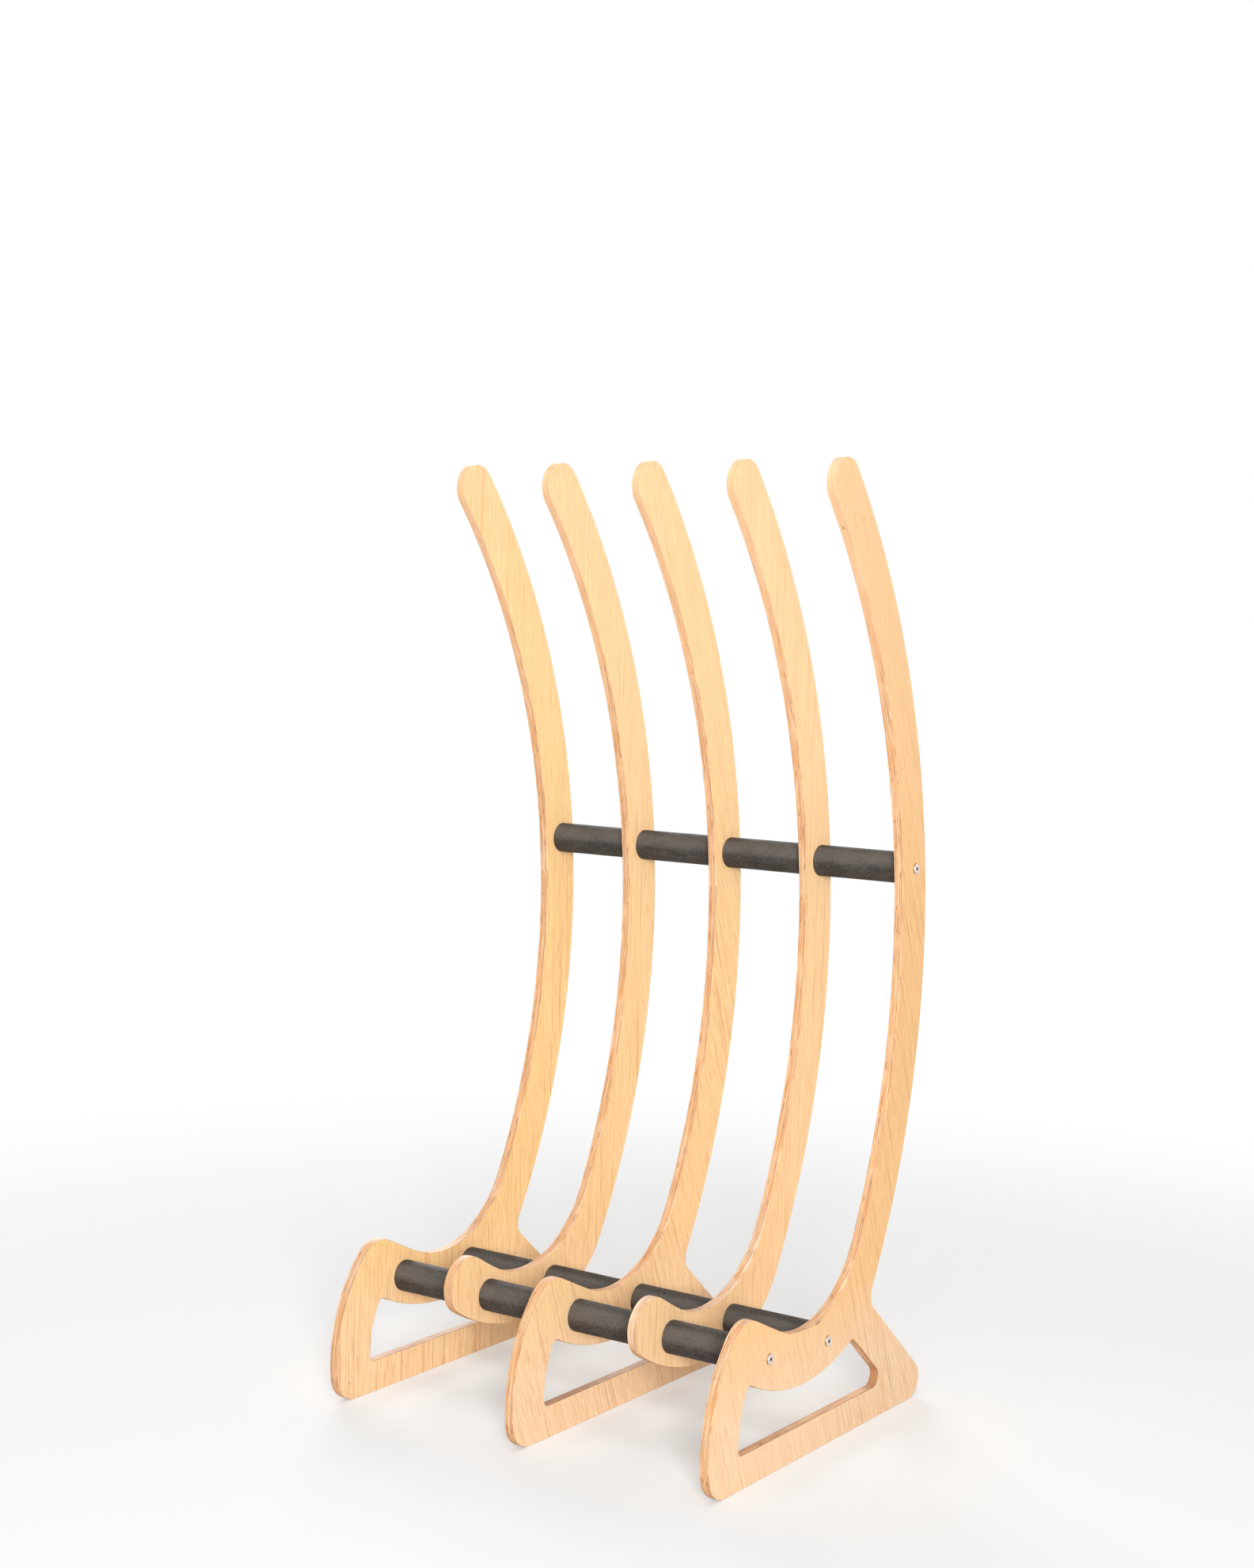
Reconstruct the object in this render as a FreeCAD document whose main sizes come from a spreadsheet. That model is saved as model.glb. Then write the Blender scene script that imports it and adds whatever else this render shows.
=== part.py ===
import FreeCAD, Part
import math
import os
import Sketcher

# Free-standing stand: five bow-shaped plywood panels in a row, joined by foam-covered tubes.
# Millimetres. X runs along the row of panels, +Y to the back, +Z up.
# The origin is on the floor, under the middle of the whole stand.

SIZES = {
    # the row of panels
    "panel_thickness": 15,
    "bay_width": 156,
    # the whole outline of a footed panel
    "panel_height": 1474,
    "foot_depth": 628,
    # upright: a bow of one width between two arcs about one centre
    # its reach and the foot's depth are from one plumb line at the front of the foot
    "bow_inner_radius": 1039,
    "upright_width": 76,
    "bow_reach": 597,
    "bow_middle_height": 742,
    # cradle with a round seat, and the lobe in front of it, a straight flat away
    "seat_radius": 180,
    "seat_height": 192,
    "lobe_radius": 50,
    "lobe_height": 242,
    "lobe_flat": 70,
    # foot: curved front that follows the lobe, rounded toe and heel, straight slope to the upright
    "front_radius": 240,
    "front_height": 66,
    "toe_radius": 45,
    "heel_radius": 30,
    "back_slope": 40,
    "notch_radius": 25,
    # opening in the foot
    "base_rail": 50,
    "front_wall": 78,
    "back_wall": 66,
    "cradle_depth": 81,
    "underside_radius": 333,
    "opening_corner_radius": 10,
    "opening_heel_radius": 16,
    # dividers have no foot: a round nose, and a blend from the underside to the upright
    "nose_radius": 45,
    "nose_flat": 44,
    "divider_blend_radius": 150,
    # softened edges of the panels
    "edge_round": 1,
    # low tube lines, from the front of the foot and from the floor
    "front_tube_setback": 157,
    "front_tube_height": 173,
    "rear_tube_setback": 326,
    "rear_tube_height": 159,
    # upper tube line, from the front of the upright and from the floor
    "upper_tube_setback": 43,
    "upper_tube_height": 854,
    # foam sleeve over a metal core tube
    "sleeve_diameter": 50,
    "core_diameter": 32,
    "core_wall": 1.5,
    "sleeve_clearance": 0.2,
    # threaded plug in each end of a core tube
    "plug_flange": 2,
    "plug_length": 26,
    "plug_clearance": 0.1,
    # thread that joins the tubes through the panels
    "thread_diameter": 6,
    "thread_clearance": 0.1,
    "thread_engagement": 20,
    "panel_hole_clearance": 0.3,
    "stud_chamfer": 0.8,
    # bolts on the two outer faces
    "bolt_head_diameter": 17,
    "bolt_head_height": 2.6,
    "bolt_head_round": 1.2,
    "socket_width": 4,
    "socket_depth": 3.2,
}

# the five panels from left to right: name, place in the row, and whether it has a foot
PANELS = (
    ("left_end_panel", -2, True),
    ("left_divider_panel", -1, False),
    ("centre_panel", 0, True),
    ("right_divider_panel", 1, False),
    ("right_end_panel", 2, True),
)
TUBE_LINES = ("front", "rear", "upper")
BAYS = (-2, -1, 0, 1)

doc = FreeCAD.newDocument("board_stand")
sheet = doc.addObject("Spreadsheet::Sheet", "sizes")
for row, (alias, number) in enumerate(SIZES.items(), start=1):
    sheet.set("A%d" % row, alias)
    sheet.set("B%d" % row, str(number))
    sheet.setAlias("B%d" % row, alias)
doc.recompute()

pieces = []


def size(alias):
    return float(getattr(sheet, alias))


def worked_out(expression):
    """The number that an expression in the sheet's sizes comes to."""
    return float(sheet.evalExpression(expression))


def point(across, up):
    return FreeCAD.Vector(across, up, 0)


def toward(start, end, distance):
    """The point at a distance from start, on the way to end or beyond it."""
    return start + (end - start).normalize() * distance


def beside(centre, reach, height, side):
    """The point at a reach from centre and at a height, on side -1 (front) or 1 (back)."""
    rise = height - centre.y
    return point(centre.x + side * math.sqrt(reach ** 2 - rise ** 2), height)


def two_reaches(first, first_reach, second, second_reach, side):
    """Where two circles cross, right (-1) or left (1) of the way from first to second."""
    gap = (second - first).Length
    along = (first_reach ** 2 - second_reach ** 2 + gap ** 2) / (2 * gap)
    off = math.sqrt(first_reach ** 2 - along ** 2)
    way = (second - first).normalize()
    return first + way * along + point(-way.y, way.x) * (side * off)


def line_reach(start, way, centre, reach, side):
    """Where a line from start crosses a circle: first (-1) or last (1) crossing."""
    lead = way.dot(start - centre)
    excess = (start - centre).Length ** 2 - reach ** 2
    return start + way * (-lead + side * math.sqrt(lead ** 2 - excess))


def cross_tangent(first, first_radius, second, second_radius):
    """End points of the line that runs over the first circle and under the second."""
    link = second - first
    tilt = math.asin((first_radius + second_radius) / link.Length)
    angle = math.atan2(link.y, link.x) - tilt
    normal = point(-math.sin(angle), math.cos(angle))
    return first + normal * first_radius, second - normal * second_radius


class Outline:
    """A closed run of lines and arcs, each tangent to the next, in one sketch of a body."""

    def __init__(self, body, name, role):
        self.sketch = body.newObject("Sketcher::SketchObject", name)
        plane = next(item for item in body.Origin.OriginFeatures if item.Role == role)
        self.sketch.AttachmentSupport = [(plane, "")]
        self.sketch.MapMode = "FlatFace"
        self.run = []

    def line(self, start, end):
        index = self.sketch.addGeometry(Part.LineSegment(start, end), False)
        self.run.append((index, 1, 2))
        return index

    def arc(self, centre, start, end, left=True):
        """An arc about centre from start to end, turning left or right on its way."""
        first, last = (start, end) if left else (end, start)
        begin = math.atan2(first.y - centre.y, first.x - centre.x)
        finish = math.atan2(last.y - centre.y, last.x - centre.x)
        if finish < begin:
            finish += 2 * math.pi
        circle = Part.Circle(centre, FreeCAD.Vector(0, 0, 1), (start - centre).Length)
        index = self.sketch.addGeometry(Part.ArcOfCircle(circle, begin, finish), False)
        self.run.append((index, 1, 2) if left else (index, 2, 1))
        return index

    def circle(self, centre, radius):
        circle = Part.Circle(centre, FreeCAD.Vector(0, 0, 1), radius)
        return self.sketch.addGeometry(circle, False)

    def close(self, kind="Tangent"):
        """Joins each piece of the run to the next, tangent or only end to end."""
        for here, after in zip(self.run, self.run[1:] + self.run[:1]):
            self.sketch.addConstraint(Sketcher.Constraint(kind, here[0], here[2], after[0], after[1]))

    def hold(self, *what):
        self.sketch.addConstraint(Sketcher.Constraint(*what))

    def measure(self, name, expression, kind, *what):
        """A named dimension that follows the sheet."""
        value = self.sketch.evalExpression(expression)
        number = self.sketch.addConstraint(Sketcher.Constraint(kind, *what, value))
        self.sketch.renameConstraint(number, name)
        self.sketch.setExpression("Constraints." + name, expression)

    def radius(self, name, index, expression):
        self.measure(name, expression, "Radius", index)

    def across(self, name, index, expression):
        """Distance of a centre from the origin along the sketch's first axis."""
        self.measure(name, expression, "DistanceX", -1, 1, index, 3)

    def up(self, name, index, expression):
        """Height of a centre over the origin."""
        self.measure(name, expression, "DistanceY", -1, 1, index, 3)


def new_body(label):
    body = doc.addObject("PartDesign::Body", label)
    body.Label = label
    return body


def pad(body, sketch, expression):
    feature = body.newObject("PartDesign::Pad", body.Label + "_pad")
    feature.Profile = sketch
    feature.setExpression("Length", expression)
    doc.recompute()
    return feature


def cut_through(body, sketch, name):
    """Cuts the sketch right through the pad that stands on the same plane."""
    before = body.Shape.Volume
    feature = body.newObject("PartDesign::Pocket", name)
    feature.Profile = sketch
    feature.Type = "ThroughAll"
    feature.Reversed = True
    doc.recompute()
    if body.Shape.Volume >= before:
        raise RuntimeError(name + " cut nothing")
    return feature


def revolve(body, sketch):
    feature = body.newObject("PartDesign::Revolution", body.Label + "_turned")
    feature.Profile = sketch
    feature.ReferenceAxis = (sketch, ["H_Axis"])
    feature.Angle = 360
    doc.recompute()
    return feature


def place(item, across, back, up):
    """Binds an object's place to the sheet: X, Y and Z as expressions."""
    for axis, expression in zip("xyz", (across, back, up)):
        item.setExpression("Placement.Base." + axis, expression)


PITCH = "(sizes.bay_width + sizes.panel_thickness)"

# the seat hangs from the bow, the lobe stands before the seat, and the foot curves down from the lobe
BOW_SETBACK = "(sizes.bow_reach - sizes.bow_inner_radius - sizes.upright_width)"
SEAT_MIDDLE = "(sizes.seat_height + sizes.seat_radius)"
SEAT_SETBACK = (
    "(%s + sqrt((sizes.bow_inner_radius - sizes.seat_radius)^2 - (sizes.bow_middle_height - %s)^2))"
    % (BOW_SETBACK, SEAT_MIDDLE))
LOBE_MIDDLE = "(sizes.lobe_height - sizes.lobe_radius)"
LOBE_SETBACK = (
    "(%s - sqrt((sizes.seat_radius + sizes.lobe_radius)^2 + sizes.lobe_flat^2 - (%s - %s)^2))"
    % (SEAT_SETBACK, SEAT_MIDDLE, LOBE_MIDDLE))
FRONT_SETBACK = (
    "(%s + sqrt((sizes.front_radius - sizes.lobe_radius)^2 - (%s - sizes.front_height)^2))"
    % (LOBE_SETBACK, LOBE_MIDDLE))
FOOT_FRONT = "(%s - sizes.front_radius)" % FRONT_SETBACK
TO_MIDDLE = "(%s + sizes.foot_depth) / 2" % FOOT_FRONT

TUBE_SETBACKS = {
    "front": FOOT_FRONT + " + sizes.front_tube_setback",
    "rear": FOOT_FRONT + " + sizes.rear_tube_setback",
    "upper": "%s + sqrt((sizes.bow_inner_radius + sizes.upper_tube_setback)^2"
             " - (sizes.upper_tube_height - sizes.bow_middle_height)^2)" % BOW_SETBACK,
}


def bow_centre():
    return point(worked_out(BOW_SETBACK), size("bow_middle_height"))


def tip_centre():
    reach = size("bow_inner_radius") + size("upright_width") / 2
    return beside(bow_centre(), reach, size("panel_height") - size("upright_width") / 2, 1)


def seat_centre():
    return point(worked_out(SEAT_SETBACK), worked_out(SEAT_MIDDLE))


def lobe_centre():
    return point(worked_out(LOBE_SETBACK), worked_out(LOBE_MIDDLE))


def front_centre():
    return point(worked_out(FRONT_SETBACK), size("front_height"))


def underside_height():
    return size("seat_height") - size("cradle_depth") + size("underside_radius")


def slope_normal():
    angle = math.radians(size("back_slope"))
    return point(math.sin(angle), math.cos(angle))


def heel_centre():
    return point(size("foot_depth") - size("heel_radius"), size("heel_radius"))


def draw_upright(outline, back_start, lobe, lobe_radius, flat):
    """Back of the bow, round tip, front of the bow, seat, and the flat up to the lobe or nose."""
    bow = bow_centre()
    tip = tip_centre()
    seat = seat_centre()
    inner = size("bow_inner_radius")
    outer = inner + size("upright_width")
    line_front, line_back = cross_tangent(lobe, lobe_radius, seat, size("seat_radius"))
    tip_back = toward(bow, tip, outer)
    tip_front = toward(bow, tip, inner)
    seat_back = toward(bow, seat, inner)
    back = outline.arc(bow, back_start, tip_back)
    outline.radius("bow_outer", back, "sizes.bow_inner_radius + sizes.upright_width")
    outline.across("bow_setback", back, BOW_SETBACK)
    outline.up("bow_middle", back, "sizes.bow_middle_height")
    round_tip = outline.arc(tip, tip_back, tip_front)
    outline.up("tip_height", round_tip, "sizes.panel_height - sizes.upright_width / 2")
    front = outline.arc(bow, tip_front, seat_back, left=False)
    outline.hold("Coincident", front, 3, back, 3)
    outline.radius("bow_inner", front, "sizes.bow_inner_radius")
    hollow = outline.arc(seat, seat_back, line_back, left=False)
    outline.radius("seat_radius", hollow, "sizes.seat_radius")
    outline.up("seat_middle", hollow, SEAT_MIDDLE)
    rise = outline.line(line_back, line_front)
    outline.measure(flat, "sizes." + flat, "Distance", rise)
    return line_front


def draw_footed(outline):
    """Outline of a panel that stands on the floor."""
    bow = bow_centre()
    front = front_centre()
    heel = heel_centre()
    normal = slope_normal()
    outer = size("bow_inner_radius") + size("upright_width")
    notch_radius = size("notch_radius")
    front_radius = size("front_radius")
    lobe_radius = size("lobe_radius")
    toe_radius = size("toe_radius")
    lobe = lobe_centre()
    toe = beside(front, front_radius - toe_radius, toe_radius, -1)
    slope_way = point(-normal.y, normal.x)
    slope_start = heel + normal * size("heel_radius")
    notch = line_reach(slope_start + normal * notch_radius, slope_way, bow, outer + notch_radius, -1)
    slope_end = notch - normal * notch_radius
    back_start = toward(bow, notch, outer)
    lobe_front = toward(front, lobe, front_radius)
    toe_front = toward(front, toe, front_radius)
    toe_floor = point(toe.x, 0)
    heel_floor = point(heel.x, 0)

    base = outline.line(toe_floor, heel_floor)
    outline.hold("Horizontal", base)
    outline.hold("PointOnObject", base, 1, -1)
    round_heel = outline.arc(heel, heel_floor, slope_start)
    outline.radius("heel_radius", round_heel, "sizes.heel_radius")
    outline.across("heel_setback", round_heel, "sizes.foot_depth - sizes.heel_radius")
    slope = outline.line(slope_start, slope_end)
    outline.measure("back_slope", "180 deg - sizes.back_slope * 1 deg", "Angle", slope)
    round_notch = outline.arc(notch, slope_end, back_start, left=False)
    outline.radius("notch_radius", round_notch, "sizes.notch_radius")
    line_front = draw_upright(outline, back_start, lobe, lobe_radius, "lobe_flat")
    round_lobe = outline.arc(lobe, line_front, lobe_front)
    outline.radius("lobe_radius", round_lobe, "sizes.lobe_radius")
    outline.up("lobe_middle", round_lobe, LOBE_MIDDLE)
    foot_front = outline.arc(front, lobe_front, toe_front)
    outline.radius("front_radius", foot_front, "sizes.front_radius")
    outline.up("front_height", foot_front, "sizes.front_height")
    round_toe = outline.arc(toe, toe_front, toe_floor)
    outline.radius("toe_radius", round_toe, "sizes.toe_radius")
    outline.close()


def draw_divider(outline):
    """Outline of a panel with no foot, whose underside runs on into its upright."""
    bow = bow_centre()
    outer = size("bow_inner_radius") + size("upright_width")
    under_radius = size("underside_radius")
    nose_radius = size("nose_radius")
    blend_radius = size("divider_blend_radius")
    nose_reach = math.hypot(size("seat_radius") + nose_radius, size("nose_flat"))
    nose = beside(seat_centre(), nose_reach, size("lobe_height") - nose_radius, -1)
    under = beside(nose, under_radius - nose_radius, underside_height(), 1)
    blend = two_reaches(bow, outer - blend_radius, under, under_radius - blend_radius, -1)
    nose_under = toward(under, nose, under_radius)
    under_back = toward(under, blend, under_radius)
    back_start = toward(bow, blend, outer)

    underside = outline.arc(under, nose_under, under_back)
    outline.radius("underside_radius", underside, "sizes.underside_radius")
    outline.up("underside_middle", underside,
               "sizes.seat_height - sizes.cradle_depth + sizes.underside_radius")
    round_blend = outline.arc(blend, under_back, back_start)
    outline.radius("divider_blend", round_blend, "sizes.divider_blend_radius")
    line_front = draw_upright(outline, back_start, nose, nose_radius, "nose_flat")
    round_nose = outline.arc(nose, line_front, nose_under)
    outline.radius("nose_radius", round_nose, "sizes.nose_radius")
    outline.up("nose_middle", round_nose, "sizes.lobe_height - sizes.nose_radius")
    outline.close()


def draw_opening(outline):
    """Opening in the foot, between the base rail, the curved front, the cradle and the slope."""
    front = front_centre()
    under = point(seat_centre().x, underside_height())
    heel = heel_centre()
    normal = slope_normal()
    slope_way = point(-normal.y, normal.x)
    front_radius = size("front_radius") - size("front_wall")
    under_radius = size("underside_radius")
    corner = size("opening_corner_radius")
    rear_corner = size("opening_heel_radius")
    rail = size("base_rail")
    inset = size("heel_radius") - size("back_wall")

    low_front = beside(front, front_radius - corner, rail + corner, -1)
    top_front = two_reaches(front, front_radius - corner, under, under_radius + corner, 1)
    top_back = line_reach(heel + normal * (inset - corner), slope_way, under, under_radius + corner, -1)
    rear_line = heel + normal * (inset - rear_corner)
    rear = rear_line + slope_way * ((rail + rear_corner - rear_line.y) / slope_way.y)

    base = outline.line(point(low_front.x, rail), point(rear.x, rail))
    outline.hold("Horizontal", base)
    outline.measure("base_rail", "sizes.base_rail", "DistanceY", -1, 1, base, 1)
    slope_start = rear + normal * rear_corner
    slope_end = top_back + normal * corner
    rear_arc = outline.arc(rear, point(rear.x, rail), slope_start)
    outline.radius("opening_heel", rear_arc, "sizes.opening_heel_radius")
    slope = outline.line(slope_start, slope_end)
    outline.measure("opening_slope", "180 deg - sizes.back_slope * 1 deg", "Angle", slope)
    top_back_end = toward(under, top_back, under_radius)
    top_back_arc = outline.arc(top_back, slope_end, top_back_end)
    outline.radius("opening_corner", top_back_arc, "sizes.opening_corner_radius")
    top_front_start = toward(under, top_front, under_radius)
    ceiling = outline.arc(under, top_back_end, top_front_start, left=False)
    outline.radius("underside_radius", ceiling, "sizes.underside_radius")
    outline.up("underside_middle", ceiling,
               "sizes.seat_height - sizes.cradle_depth + sizes.underside_radius")
    top_front_end = toward(front, top_front, front_radius)
    top_front_arc = outline.arc(top_front, top_front_start, top_front_end)
    outline.hold("Equal", top_front_arc, top_back_arc)
    low_front_start = toward(front, low_front, front_radius)
    front_arc = outline.arc(front, top_front_end, low_front_start)
    outline.radius("front_inner", front_arc, "sizes.front_radius - sizes.front_wall")
    outline.across("front_setback", front_arc, FRONT_SETBACK)
    outline.up("front_height", front_arc, "sizes.front_height")
    low_front_arc = outline.arc(low_front, low_front_start, point(low_front.x, rail))
    outline.hold("Equal", low_front_arc, top_back_arc)
    outline.close()

    # the slope keeps its wall to the heel, and the ceiling is centred under the seat
    heel_mark = outline.sketch.addGeometry(Part.Point(heel), True)
    outline.measure("heel_setback", "sizes.foot_depth - sizes.heel_radius",
                    "DistanceX", -1, 1, heel_mark, 1)
    outline.measure("heel_height", "sizes.heel_radius", "DistanceY", -1, 1, heel_mark, 1)
    outline.measure("back_wall", "sizes.back_wall - sizes.heel_radius", "Distance", heel_mark, 1, slope)
    outline.across("underside_setback", ceiling, SEAT_SETBACK)


def drill(body):
    """Clearance holes for the three tube lines."""
    outline = Outline(body, body.Label + "_holes_sketch", "YZ_Plane")
    radius = size("thread_diameter") / 2 + size("panel_hole_clearance")
    for line in TUBE_LINES:
        centre = point(worked_out(TUBE_SETBACKS[line]), size(line + "_tube_height"))
        hole = outline.circle(centre, radius)
        outline.radius(line + "_hole", hole, "sizes.thread_diameter / 2 + sizes.panel_hole_clearance")
        outline.across(line + "_setback", hole, TUBE_SETBACKS[line])
        outline.up(line + "_height", hole, "sizes.%s_tube_height" % line)
    return cut_through(body, outline.sketch, body.Label + "_holes")


def soften(body, feature):
    """Rounds every edge of the two faces, except at the drilled holes."""
    hole_radius = size("thread_diameter") / 2 + size("panel_hole_clearance")
    thickness = size("panel_thickness")
    names = []
    for number, edge in enumerate(feature.Shape.Edges, start=1):
        box = edge.BoundBox
        on_face = box.XLength < thickness / 2
        drilled = isinstance(edge.Curve, Part.Circle) and abs(edge.Curve.Radius - hole_radius) < 1e-6
        if on_face and not drilled:
            names.append("Edge%d" % number)
    fillet = body.newObject("PartDesign::Fillet", body.Label + "_edges")
    fillet.Base = (feature, names)
    fillet.setExpression("Radius", "sizes.edge_round")
    doc.recompute()


def make_panel(label, step, footed):
    body = new_body(label)
    outline = Outline(body, label + "_outline", "YZ_Plane")
    if footed:
        draw_footed(outline)
    else:
        draw_divider(outline)
    pad(body, outline.sketch, "sizes.panel_thickness")
    if footed:
        opening = Outline(body, label + "_opening_sketch", "YZ_Plane")
        draw_opening(opening)
        cut_through(body, opening.sketch, label + "_opening")
    soften(body, drill(body))
    place(body, "%d * %s - sizes.panel_thickness / 2" % (step, PITCH), "-" + TO_MIDDLE, "0")
    pieces.append(body)


def line_place(line):
    """Y and Z of a tube line as expressions."""
    return "%s - %s" % (TUBE_SETBACKS[line], TO_MIDDLE), "sizes.%s_tube_height" % line


def bay_start(bay):
    """X of the left side of a bay, counted by the panel on its left."""
    return "%d * %s + sizes.panel_thickness / 2" % (bay, PITCH)


def make_ring(label, outer, inner, length, start, line):
    """A straight tube along X: outer and inner radius, length and start as expressions."""
    body = new_body(label)
    outline = Outline(body, label + "_section", "YZ_Plane")
    for name, expression in (("outer", outer), ("inner", inner)):
        circle = outline.circle(point(0, 0), outline.sketch.evalExpression(expression))
        outline.hold("Coincident", circle, 3, -1, 1)
        outline.radius(name, circle, expression)
    pad(body, outline.sketch, length)
    place(body, start, *line_place(line))
    pieces.append(body)


def make_sleeve(line, bay, label):
    make_ring(label, "sizes.sleeve_diameter / 2", "sizes.core_diameter / 2 + sizes.sleeve_clearance",
              "sizes.bay_width", bay_start(bay), line)


def make_core(line, bay, label):
    make_ring(label, "sizes.core_diameter / 2", "sizes.core_diameter / 2 - sizes.core_wall",
              "sizes.bay_width - 2 * sizes.plug_flange", bay_start(bay) + " + sizes.plug_flange", line)


def turned(label, corners):
    """A solid of revolution about X: corners are (along, radius) pairs of expressions."""
    body = new_body(label)
    outline = Outline(body, label + "_profile", "XY_Plane")
    evaluate = outline.sketch.evalExpression
    spots = [point(evaluate(along), evaluate(radius)) for along, radius in corners]
    for start, end in zip(spots, spots[1:] + spots[:1]):
        outline.line(start, end)
    outline.close("Coincident")
    for number, (along, radius) in enumerate(corners):
        index = outline.run[number][0]
        outline.measure("along_%d" % number, along, "DistanceX", -1, 1, index, 1)
        outline.measure("radius_%d" % number, radius, "DistanceY", -1, 1, index, 1)
    revolve(body, outline.sketch)
    return body


def face_about(body, side):
    """Turns a body made to point along +X so that it points to side 1 or -1."""
    if side < 0:
        body.Placement = FreeCAD.Placement(FreeCAD.Vector(), FreeCAD.Rotation(FreeCAD.Vector(0, 0, 1), 180))


def group(label, bodies):
    compound = doc.addObject("Part::Compound", label)
    compound.Label = label
    compound.Links = bodies
    pieces.append(compound)


def make_plugs(line, bay, label):
    """The two flanged plugs of one core tube, with their flanges against the panels."""
    bore = "sizes.thread_diameter / 2 + sizes.thread_clearance"
    flange = "sizes.core_diameter / 2"
    spigot = "sizes.core_diameter / 2 - sizes.core_wall - sizes.plug_clearance"
    corners = (
        ("0", bore),
        ("0", flange),
        ("sizes.plug_flange", flange),
        ("sizes.plug_flange", spigot),
        ("sizes.plug_length", spigot),
        ("sizes.plug_length", bore),
    )
    plugs = []
    for side, end in ((1, "left"), (-1, "right")):
        plug = turned("%s_%s" % (label, end), corners)
        face_about(plug, side)
        start = bay_start(bay) if side > 0 else bay_start(bay) + " + sizes.bay_width"
        place(plug, start, *line_place(line))
        plugs.append(plug)
    group(label, plugs)


def make_studs(line, label):
    """The studs that pass through the three inner panels and join the tubes on both sides."""
    radius = "sizes.thread_diameter / 2"
    tip = "sizes.thread_diameter / 2 - sizes.stud_chamfer"
    half = "(sizes.panel_thickness / 2 + sizes.thread_engagement)"
    corners = (
        ("-%s" % half, "0"),
        ("-%s" % half, tip),
        ("-%s + sizes.stud_chamfer" % half, radius),
        ("%s - sizes.stud_chamfer" % half, radius),
        (half, tip),
        (half, "0"),
    )
    studs = []
    for name, step, _ in PANELS[1:-1]:
        stud = turned("%s_%s" % (label, name), corners)
        place(stud, "%d * %s" % (step, PITCH), *line_place(line))
        studs.append(stud)
    group(label, studs)


def make_bolt(label, side, step, line):
    """A flat round-headed bolt with a hexagon socket, its head against an outer panel face."""
    head = "sizes.bolt_head_diameter / 2"
    shank = "sizes.thread_diameter / 2"
    reach = "(sizes.panel_thickness + sizes.thread_engagement)"
    corners = (
        ("-%s" % reach, "0"),
        ("-%s" % reach, shank + " - sizes.stud_chamfer"),
        ("-%s + sizes.stud_chamfer" % reach, shank),
        ("0", shank),
        ("0", head),
        ("sizes.bolt_head_height", head),
        ("sizes.bolt_head_height", "0"),
    )
    body = turned(label, corners)
    blank = body.Tip
    rim = [
        "Edge%d" % number
        for number, edge in enumerate(blank.Shape.Edges, start=1)
        if edge.BoundBox.XMin > size("bolt_head_height") / 2
    ]
    fillet = body.newObject("PartDesign::Fillet", label + "_rim")
    fillet.Base = (blank, rim)
    fillet.setExpression("Radius", "sizes.bolt_head_round")
    doc.recompute()

    outline = Outline(body, label + "_socket_sketch", "YZ_Plane")
    outline.sketch.setExpression("AttachmentOffset.Base.z", "sizes.bolt_head_height")
    reach_out = size("socket_width") / math.sqrt(3)
    spots = [
        point(reach_out * math.cos(math.radians(60 * turn)), reach_out * math.sin(math.radians(60 * turn)))
        for turn in range(6)
    ]
    for start, end in zip(spots, spots[1:] + spots[:1]):
        outline.line(start, end)
    outline.close("Coincident")
    sides = [index for index, _, _ in outline.run]
    for index in sides[1:]:
        outline.hold("Equal", sides[0], index)
    guide = outline.sketch.addGeometry(
        Part.Circle(point(0, 0), FreeCAD.Vector(0, 0, 1), reach_out), True)
    outline.hold("Coincident", guide, 3, -1, 1)
    outline.radius("socket_reach", guide, "sizes.socket_width / sqrt(3)")
    for index in sides:
        outline.hold("PointOnObject", index, 1, guide)
    outline.hold("PointOnObject", sides[0], 1, -1)
    before = body.Shape.Volume
    pocket = body.newObject("PartDesign::Pocket", label + "_socket")
    pocket.Profile = outline.sketch
    pocket.setExpression("Length", "sizes.socket_depth")
    doc.recompute()
    if body.Shape.Volume >= before:
        raise RuntimeError(label + " has no socket")

    face_about(body, side)
    across = "%d * %s + %d * sizes.panel_thickness / 2" % (step, PITCH, side)
    place(body, across, *line_place(line))
    return body


def make_bolts(label, side, step):
    bolts = [make_bolt("%s_%s" % (label, line), side, step, line) for line in TUBE_LINES]
    group(label, bolts)


for name, step, footed in PANELS:
    make_panel(name, step, footed)
for line in TUBE_LINES:
    for number, bay in enumerate(BAYS, start=1):
        make_sleeve(line, bay, "%s_foam_sleeve_%d" % (line, number))
        make_core(line, bay, "%s_core_tube_%d" % (line, number))
        make_plugs(line, bay, "%s_tube_plugs_%d" % (line, number))
    make_studs(line, "%s_joining_studs" % line)
make_bolts("left_end_bolts", -1, PANELS[0][1])
make_bolts("right_end_bolts", 1, PANELS[-1][1])
doc.recompute()

for item in doc.Objects:
    if "Invalid" in item.State or "Error" in item.State:
        raise RuntimeError("%s failed: %s" % (item.Label, item.State))
for piece in pieces:
    if piece.Shape.isNull() or not piece.Shape.isValid():
        raise RuntimeError(piece.Label + " has no valid shape")

os.makedirs("parts", exist_ok=True)
for piece in pieces:
    piece.Shape.exportStep("parts/%s.step" % piece.Label)
    print(piece.Label, len(piece.Shape.Solids), round(piece.Shape.Volume, 1))
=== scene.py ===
import math

import bmesh
import bpy
from mathutils import Matrix, Vector, noise


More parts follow.
